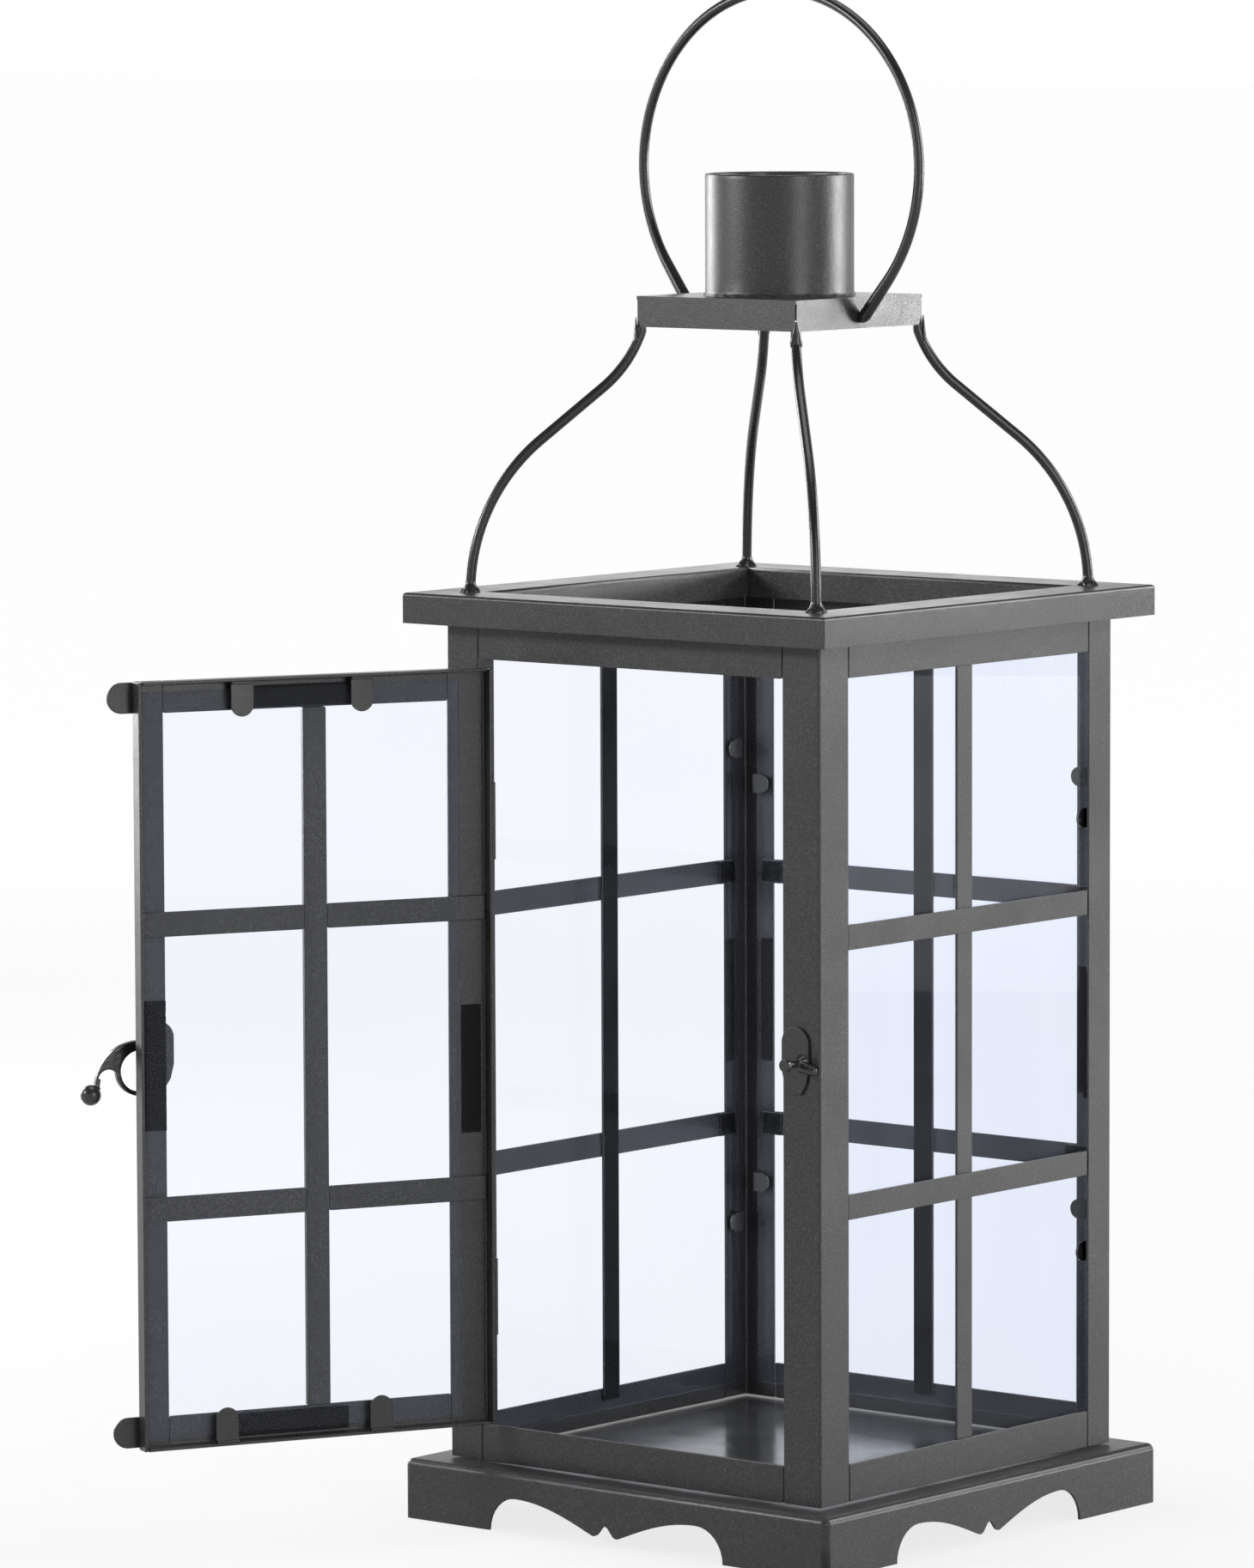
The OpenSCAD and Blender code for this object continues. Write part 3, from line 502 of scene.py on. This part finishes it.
for node in [n for n in NODES if n.startswith(SHEET)]:
    dress(sheet_piece(node), PAINT, BODY_OF[node], "painted_sheet", node)
for node in FITTINGS:
    fitting = ease(welded_copy(node), FITTING_EDGE, segments=2, fold=FITTING_EDGE)
    dress(fitting, FITTING, BODY_OF[node], "black_fittings", node)
for node in PANES:
    pane = ease(welded_copy(node), PANE_EDGE, segments=1, fold=PANE_EDGE)
    dress(pane, GLASS, BODY_OF[node], "pane_glass", node)
dress(cast("latch_lever", 0.28, 9), FITTING, "lever", "black_fittings", "latch_lever")
dress(cast("catch_stud", 0.2, 7), FITTING, "lantern", "black_fittings", "catch_stud")

# Base: the pressed candle floor has its own rubbed finish
base = ease(welded_copy("base_shell"), EDGE, shortest=BASE_SHORTEST)
dress(base, PAINT, "lantern", "painted_sheet", "base_shell")
base.data.materials.append(FLOOR_PAINT)
FLOOR_Z = cad_box("base_shell")[1].z
for polygon in base.data.polygons:
    if polygon.normal.z > FACING_UP and polygon.center.z > (FLOOR_Z - LEVEL_TOL) * MM:
        polygon.material_index = 1

# --------------------------------------------------------------------------
# Top rim: four lengths of one folded section with open mitres
# --------------------------------------------------------------------------
SHEET_T = 1.2
FOLD_R = 1.3
FOLD_STEPS = 6
RIM_FLAT = 24.5       # width of the rim's flat top
RIM_SEAM = 0.12
BODY_HALF = -cad_box("post_front_left")[0].x


def mitred(profile, seam):
    """Four closed lengths of a section of (distance from the axis, z), mitred at the corners."""
    shells = []
    for side in range(4):
        turn = Matrix.Rotation(rad(90 * side), 3, "Z")
        shells.append(loft([[turn @ Vector((end * (d - seam), -d, z)) for d, z in profile]
                            for end in (-1, 1)]))
    return shells


def rim_section():
    """The folded sheet in section: down the outside, over the top and down the inside."""
    low, high = cad_box("top_rim")
    out, z0, z1 = high.x, low.z, high.z
    inner = out - RIM_FLAT
    outer_fold = arc((out - FOLD_R, z1 - FOLD_R), FOLD_R, 0, 90, FOLD_STEPS)
    inner_fold = arc((inner + FOLD_R, z1 - FOLD_R), FOLD_R, 90, 180, FOLD_STEPS)
    return [(out, z0), *outer_fold, *inner_fold, (inner, z0), (inner + SHEET_T, z0),
            (inner + SHEET_T, z1 - SHEET_T), (out - SHEET_T, z1 - SHEET_T),
            (out - SHEET_T, z0 + SHEET_T), (BODY_HALF, z0 + SHEET_T), (BODY_HALF, z0)]


rim = ease(mesh_object("top_rim_fine", *mitred(rim_section(), RIM_SEAM)), EDGE, fold=EDGE)
dress(rim, PAINT, "lantern", "painted_sheet", "top_rim")

# --------------------------------------------------------------------------
# Cap: its flange is slit at the corners, where the tray was folded down
# --------------------------------------------------------------------------
CAP_LOW, CAP_HIGH = cad_box("cap_tray")
CAP_CORNER = CAP_HIGH.x * math.sqrt(2)
CAP_EDGE = 0.25
CAP_SHORTEST = 30
SLIT_HALF = 0.36
SLIT_DEPTH = 2.3
SLIT_TOP = 1.5
CUT_PAST = 1          # the cutter reaches this far past the metal


def corner_slits():
    near, far = CAP_CORNER - SLIT_DEPTH, CAP_CORNER + CUT_PAST
    ring = [(near, -SLIT_HALF), (far, -SLIT_HALF), (far, SLIT_HALF), (near, SLIT_HALF)]
    shells = []
    for k in range(4):
        turn = Matrix.Rotation(rad(90 * k + 45), 3, "Z")
        shells.append(loft([[turn @ Vector((x, y, z)) for x, y in ring]
                            for z in (CAP_LOW.z - CUT_PAST, CAP_HIGH.z - SLIT_TOP)]))
    return shells


# The cut comes before the easing, because the exact boolean loses the eased tray
cap = cut_away(welded_copy("cap_tray"), corner_slits())
cap = ease(cap, CAP_EDGE, shortest=CAP_SHORTEST, fold=FOLD_R)
dress(cap, PAINT, "lantern", "painted_sheet", "cap_tray")

# --------------------------------------------------------------------------
# Flue collar: a rolled lip above, an uneven line of weld below
# --------------------------------------------------------------------------
COLLAR_LOW, COLLAR_HIGH = cad_box("flue_collar")
COLLAR_R = COLLAR_HIGH.x
COLLAR_T = 1.5
COLLAR_STEPS = 160
COLLAR_WAVE = 0.06    # how far the wall is out of round
WALL_END = 2          # the wall's points keep this far from both ends
WALL_STEPS = 8
LIP_R = 0.75
LIP_STEPS = 8
WELD_W = 0.9
WELD_H = 1.1


def collar_section(turn):
    z0, z1 = COLLAR_LOW.z, COLLAR_HIGH.z
    place = Vector((math.cos(turn), math.sin(turn), 0))
    lump = 0.75 + 0.5 * noise.noise(place * 9)
    wave = COLLAR_WAVE * noise.noise(place * 2.5 + Vector((3, 1, 0)))
    out = COLLAR_R + wave
    weld = [(out + WELD_W * lump, z0), (out + WELD_W * lump * 0.7, z0 + WELD_H * lump * 0.55),
            (out + WELD_W * lump * 0.2, z0 + WELD_H * lump)]
    rise = z1 - z0 - 2 * WALL_END
    wall = [(out, z0 + WALL_END + rise * i / WALL_STEPS) for i in range(WALL_STEPS + 1)]
    lip = arc((COLLAR_R - LIP_R, z1 - LIP_R), LIP_R, 0, 180, LIP_STEPS)
    return weld + wall + lip + [(COLLAR_R - COLLAR_T, z0)]


collar = mesh_object("flue_collar_fine", lathe(collar_section, COLLAR_STEPS), crease=60)
dress(collar, PAINT, "lantern", "painted_sheet", "flue_collar")

# --------------------------------------------------------------------------
# Wire arms: an arc up from the rim, a straight run, and an arc back to the cap's corner
# --------------------------------------------------------------------------
ROD_R = 2.1
ARM_FOOT_R = 126.5
ARM_LOW_R = 79.8
ARM_LOW_A = 50.4
ARM_LOW_STEPS = 44
ARM_MID_L = 33
ARM_MID_STEP = 3
ARM_UP_R = 50.7
ARM_UP_STEPS = 26
ARM_STUB_Z = 485.2
RIM_TOP = cad_box("top_rim")[1].z
FOOT_WELD_H = 4.2
FOOT_WELD_W = 2.3
FOOT_FLARE = 1.7      # how quickly the weld spreads towards the rim
FOOT_SKIN = 0.05      # the weld's top stands this far off the wire
FOOT_STEPS = 7
BEAD_R = CAP_CORNER + 0.35
BEAD_Z = (480.4, 491)
BEAD_SIDE = 2.5
BEAD_DEEP = 1.2
BEAD_STEPS = 13


def arm_points():
    """Middle line of an arm in its upright plane, as (distance from the axis, z)."""
    low = arc((ARM_FOOT_R - ARM_LOW_R, RIM_TOP), ARM_LOW_R, 0, ARM_LOW_A, ARM_LOW_STEPS)
    r, z = low[-1]
    a = rad(ARM_LOW_A)
    run = [(r - s * math.sin(a), z + s * math.cos(a))
           for s in range(ARM_MID_STEP, ARM_MID_L, ARM_MID_STEP)]
    up = (r - ARM_MID_L * math.sin(a), z + ARM_MID_L * math.cos(a))
    centre = (up[0] + ARM_UP_R * math.cos(a), up[1] + ARM_UP_R * math.sin(a))
    turned = ARM_LOW_A - math.degrees(math.asin((centre[1] - ARM_STUB_Z) / ARM_UP_R))
    high = arc(centre, ARM_UP_R, 180 + ARM_LOW_A, 180 + ARM_LOW_A - turned, ARM_UP_STEPS)
    return low + run + high + [(high[-1][0], CAP_LOW.z)]


def arm_shells(turn, seed):
    """The wire, the weld round its foot and the bead that ties it to the cap's corner."""
    def place(r, z):
        return Vector((r * math.cos(turn), r * math.sin(turn), z))

    def foot(i, a):
        spread = FOOT_WELD_W * (1 - i / FOOT_STEPS) ** FOOT_FLARE
        ripple = lumps((3 * math.cos(a), 3 * math.sin(a) + seed, i * 0.8), 1.7, 0.55)
        return ROD_R + FOOT_SKIN + spread * ripple

    def bead(i, a):
        """An oval bead, fullest near its foot and tapering upwards."""
        t = i / BEAD_STEPS
        swell = min(1, 0.8 + 2.5 * t, 1.25 - 1.1 * t)
        r = 1 / math.sqrt((math.cos(a) / BEAD_DEEP) ** 2 + (math.sin(a) / BEAD_SIDE) ** 2)
        return r * swell * lumps((2 * math.cos(a), 2 * math.sin(a), i + seed), 2.6, 0.12)

    wire = tube([place(r, z) for r, z in arm_points()], lambda i, a: ROD_R)
    foot_line = [place(ARM_FOOT_R, RIM_TOP + FOOT_WELD_H * i / FOOT_STEPS)
                 for i in range(FOOT_STEPS + 1)]
    low, high = BEAD_Z
    bead_line = [place(BEAD_R, low + (high - low) * i / BEAD_STEPS) for i in range(BEAD_STEPS + 1)]
    side = (-math.sin(turn), math.cos(turn), 0)
    return [wire, tube(foot_line, foot, 40, up=(1, 0, 0)), tube(bead_line, bead, 28, up=side)]


for k, node in enumerate(("arm_front_left", "arm_front_right", "arm_back_right", "arm_back_left")):
    arm = mesh_object(node + "_fine", *arm_shells(rad(90 * k - 135), 11.3 * k), crease=65)
    dress(arm, WIRE, "lantern", "painted_sheet", node)

# --------------------------------------------------------------------------
# Wire handle
# --------------------------------------------------------------------------
RING_R = 71.4
RING_Z = 551.3
PIVOT_Z = JOINTS["handle_swing"]["pos_m"][2] / MM
RING_HEAD_X = 37.45
# Where each leg turns in to its hole, and how tightly: the right one is bent close to the cap
LEFT_LEG = (42.2, 6)
RIGHT_LEG = (41.9, 2.75)
STUB_GAP = 0.5        # the straight stub ends this far before the bend
STUB_POINTS = 2
BEND_STEPS = 10
RUN_STEPS = 8
RING_STEPS = 160
LEG_SWELL = 0.5       # the hammered bends are this much thicker, which fades out along the leg
FADE_STEPS = 12
# Peened end inside the cap's flange, as (distance along the stub, radius)
HEAD_RINGS = ((0, 2.3), (0.3, 3.2), (0.9, 3.5), (1.7, 3.5), (2, 3.2))


def handle_leg(end_x, bend_r):
    """Stub, bend and straight leg of one end, and the angle at which the ring takes over."""
    bend_z = PIVOT_Z + bend_r
    rise = RING_Z - bend_z
    reach = math.hypot(end_x, rise)
    leg = 90 - math.degrees(math.asin((RING_R - bend_r) / reach) + math.atan2(rise, end_x))
    bend = arc((end_x, bend_z), bend_r, -90, leg, BEND_STEPS)
    start = Vector(bend[-1])
    end = Vector((RING_R * math.cos(rad(leg)), RING_Z + RING_R * math.sin(rad(leg))))
    run = [tuple(start.lerp(end, t / RUN_STEPS)) for t in range(1, RUN_STEPS)]
    return [(RING_HEAD_X, PIVOT_Z), (end_x - STUB_GAP, PIVOT_Z)] + bend + run, leg


def handle_shell():
    right, right_angle = handle_leg(*RIGHT_LEG)
    left, left_angle = handle_leg(*LEFT_LEG)
    ring = arc((0, RING_Z), RING_R, right_angle, 180 - left_angle, RING_STEPS)
    path = right + ring + [(-x, z) for x, z in reversed(left)]

    def radius(i, a):
        step = min(i, len(path) - 1 - i) - STUB_POINTS
        swell = min(step / BEND_STEPS, 1 - (step - BEND_STEPS) / FADE_STEPS)
        return ROD_R + LEG_SWELL * max(0, swell)

    return tube([(x, 0, z) for x, z in path], radius)


def head(side):
    path = [(side * (RING_HEAD_X + x), 0, PIVOT_Z) for x, r in HEAD_RINGS]
    return tube(path, lambda i, a: HEAD_RINGS[i][1], 28)


handle = mesh_object("carry_handle_fine", handle_shell(), head(1), head(-1), crease=65)
dress(handle, WIRE, "handle", "painted_sheet", "carry_handle")

# --------------------------------------------------------------------------
# Foam tapes, cut by hand, on the door and in the body
# --------------------------------------------------------------------------
TAPE_STEP = 0.7
TAPE_WANDER = 0.45    # how far the long edges wander
TAPE_MARGIN = 0.05    # they stay this far inside the CAD solid
TAPE_CRUSH = 0.07     # share of the thickness by which the face is crushed
# Corners and middles of the section, as shares of the width and the thickness
TAPE_SECTION = ((0, 0), (0.5, 0), (1, 0), (1, 1), (0.5, 1), (0, 1))


def islands(node, to_local):
    """Boxes round each separate solid of a node, in local millimetres."""
    bm = welded_bmesh(node)
    left = set(bm.verts)
    boxes = []
    while left:
        group, queue = set(), [left.pop()]
        while queue:
            vert = queue.pop()
            group.add(vert)
            for edge in vert.link_edges:
                other = edge.other_vert(vert)
                if other in left:
                    left.remove(other)
                    queue.append(other)
        points = [to_local @ (v.co / MM) for v in group]
        boxes.append((Vector([min(p[i] for p in points) for i in range(3)]),
                      Vector([max(p[i] for p in points) for i in range(3)])))
    bm.free()
    return sorted(boxes, key=lambda box: tuple(box[0]))


def torn_strip(low, high, seed):
    """A strip of foam tape: its long edges wander and its face is a little crushed."""
    size = high - low
    along, across, deep = sorted(range(3), key=lambda i: -size[i])
    steps = int(size[along] / TAPE_STEP)
    rings = []
    for i in range(steps + 1):
        ring = []
        for u, w in TAPE_SECTION:
            shift = noise.noise(Vector((i * 0.55, 3.1 * (u > 0.5), seed)))
            crush = noise.noise(Vector((i * 0.25, 5 + u, seed)))
            point = Vector((0, 0, 0))
            point[along] = low[along] + size[along] * (i / steps)
            edge = size[across] * u + (TAPE_WANDER * shift if u != 0.5 else 0)
            point[across] = low[across] + min(max(edge, TAPE_MARGIN), size[across] - TAPE_MARGIN)
            thick = 1 - TAPE_CRUSH + TAPE_CRUSH * crush
            point[deep] = low[deep] + size[deep] * (thick if w else 0)
            ring.append(point)
        rings.append(ring)
    return loft(rings)


def moved(shell, matrix):
    verts, faces = shell
    return [matrix @ Vector(v) for v in verts], faces


for node, to_world in (("door_pads", TO_DOOR), ("pads_body", Matrix.Identity(4))):
    strips = [moved(torn_strip(low, high, 7.7 * i), to_world)
              for i, (low, high) in enumerate(islands(node, to_world.inverted()))]
    tapes = mesh_object(node + "_fine", *strips, crease=35)
    dress(tapes, FOAM, BODY_OF[node], "cushion_rubber", node)

# --------------------------------------------------------------------------
# Floor and world
# --------------------------------------------------------------------------
FLOOR_HALF = 3e4
FLOOR_CORNERS = ((-1, -1), (1, -1), (1, 1), (-1, 1))
FLOOR_ALBEDO = 0.15
# The floor's glow, from one level to the other between two distances in metres
FLOOR_GLOW = (0.8, 0.97)
FLOOR_REACH = (0.3, 2.5)
WORLD_LEVEL = 0.5     # what the world lights the object with
# Reflections see a dimmer low wall above the white floor, then a white band and a dim ceiling.
# Where each begins and ends is the sine of its elevation.
HORIZON = -0.001
WALL_TOP = 0.1
WALL_LEVEL = 0.45
CEILING_FROM = 0.22
CEILING_FULL = 0.5
CEILING_LEVEL = 0.12
SEEN = ("Camera", "Glossy", "Transmission")


def floor_material():
    """Pale and matt; the glow that only seen rays get stands for the far studio lamps."""
    g = material_graph("studio_floor")
    matt = g.node("BsdfDiffuse", Color=(FLOOR_ALBEDO,) * 3)
    reach = g.node("VectorMath", Vector=g.coord.outputs["Object"])
    reach.operation = "LENGTH"
    level = g.span(reach.outputs["Value"], *FLOOR_REACH, *FLOOR_GLOW)
    glow = g.node("Emission", Strength=g.math("MULTIPLY", g.rays(*SEEN), level))
    both = g.tree.nodes.new("ShaderNodeAddShader")
    g.put(both.inputs[0], matt.outputs[0])
    g.put(both.inputs[1], glow.outputs[0])
    return g.finish(both)


def studio_world():
    """White where it is seen straight or through glass, a studio where it is reflected."""
    g = Graph(bpy.data.worlds.new("studio_world"), "ShaderNodeOutputWorld")
    height = g.node("SeparateXYZ", Vector=g.coord.outputs["Generated"]).outputs["Z"]
    ceiling = g.span(height, CEILING_FROM, CEILING_FULL, 1.0, CEILING_LEVEL)
    below = g.span(height, HORIZON, 0.0, 1.0, 0.0)
    wall = g.math("MAXIMUM", below, g.span(height, 0.0, WALL_TOP, WALL_LEVEL, 1.0))
    level = g.span(g.rays(*SEEN), 0.0, 1.0, WORLD_LEVEL, 1.0)
    level = g.math("MULTIPLY", level, g.math("MULTIPLY", wall, ceiling))
    level = g.math("MAXIMUM", level, g.rays("Camera", "Transmission"))
    return g.finish(g.node("Background", Color=(1, 1, 1), Strength=level))


floor_shell = ([(x * FLOOR_HALF, y * FLOOR_HALF, 0) for x, y in FLOOR_CORNERS], [(0, 1, 2, 3)])
floor = mesh_object("studio_floor", floor_shell)
floor.data.materials.append(floor_material())
SCENE.world = studio_world()


# --------------------------------------------------------------------------
# Lamps and camera
# --------------------------------------------------------------------------
def area(name, place, target, size, power, spread=180):
    """A lamp; place, target and size are in metres, power in watts and spread in degrees."""
    data = bpy.data.lights.new(name, "AREA")
    data.shape = "RECTANGLE"
    data.size, data.size_y = size
    data.energy = power
    data.spread = rad(spread)
    lamp = link(bpy.data.objects.new(name, data))
    lamp.location = place
    lamp.rotation_euler = (Vector(target) - Vector(place)).to_track_quat("-Z", "Y").to_euler()
    lamp.visible_camera = False
    lamp.visible_transmission = False


area("key_right_back", (1.0, 1.3, 0.5), (0, 0, 0.61), (1.1, 0.15), 0.82, 32)
area("high_right_back", (0.85, 1.05, 0.84), (0, 0, 0.5), (0.8, 0.3), 9)
area("low_right_back", (1.0, 1.3, 0.12), (0, 0, -0.35), (0.9, 0.2), 1.0, 50)
area("side_left", (-1.5, 0.1, 0.6), (0, 0, 0.4), (0.45, 0.9), 15)
area("rim_left_back", (-0.98, 1.2, 0.85), (0, 0, 0.4), (0.4, 0.6), 1.0)
area("front_left", (-0.8, -1.1, 0.78), (0, 0, 0.5), (0.5, 0.2), 9)
area("front_right", (1.4, -0.5, 0.7), (0, 0, 0.45), (0.3, 1.2), 7)
area("top_soft", (0.0, 0.1, 1.7), (0, 0, 0), (1.0, 1.0), 8)

# The camera stands CAM_D metres from the lantern's axis, at height CAM_Z. Its focal length is in
# pixels of the photograph.
CAM_AZ, CAM_D, CAM_Z = rad(38.5961), 3.45287, 0.63951
CAM_YAW, CAM_PITCH, CAM_ROLL = rad(1.0404), rad(5.613), rad(-0.2113)
CAM_F, LONG_SIDE = 9896.68, 1826
SENSOR = 36
CLIP_END = 100
cam_data = bpy.data.cameras.new("camera")
cam_data.sensor_width = SENSOR
cam_data.lens = CAM_F / LONG_SIDE * SENSOR
cam_data.clip_end = CLIP_END
cam = link(bpy.data.objects.new("camera", cam_data))
place = Matrix.Translation((math.sin(CAM_AZ) * CAM_D, -math.cos(CAM_AZ) * CAM_D, CAM_Z))
turn = (Matrix.Rotation(CAM_AZ + CAM_YAW, 4, "Z") @ Matrix.Rotation(rad(90) - CAM_PITCH, 4, "X")
        @ Matrix.Rotation(CAM_ROLL, 4, "Z"))
cam.matrix_world = place @ turn
SCENE.camera = cam
SCENE.view_settings.view_transform = "Standard"
